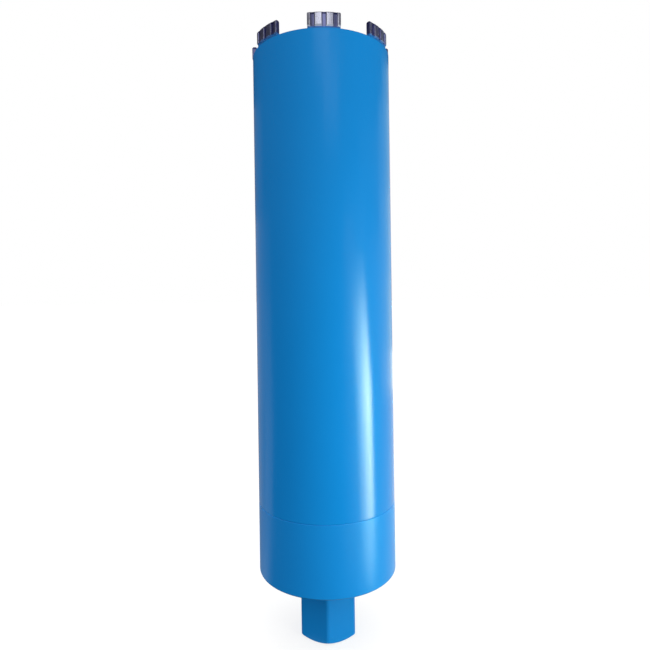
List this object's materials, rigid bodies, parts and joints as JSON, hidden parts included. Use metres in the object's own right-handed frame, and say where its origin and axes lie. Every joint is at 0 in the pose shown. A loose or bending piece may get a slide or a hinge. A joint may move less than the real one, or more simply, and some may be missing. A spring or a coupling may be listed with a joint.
{
  "type": "diamond core bit",
  "caption": "Long closed barrel with fluted diamond segments round its open end and a tapped hexagonal hub on its base, for wet core drilling.",
  "frame": {"origin": "on the barrel's axis, in the hub's open end face", "axes": "+Z along the barrel's axis, from the hub to the cutting segments; -Y is the side where segment_1 stands"},
  "size_m": [0.102, 0.1013, 0.4333],
  "materials": {
    "painted_steel": "satin blue enamel over steel",
    "sintered_segment": "matt sintered metal with diamond grit"
  },
  "bodies": {
    "root": {"barrel_tube": "painted_steel", "base_cup": "painted_steel", "hex_hub": "painted_steel", "hub_weld": "painted_steel", "segment_1": "sintered_segment", "segment_2": "sintered_segment", "segment_3": "sintered_segment", "segment_4": "sintered_segment", "segment_5": "sintered_segment", "segment_6": "sintered_segment", "segment_7": "sintered_segment"}
  },
  "joints": []
}
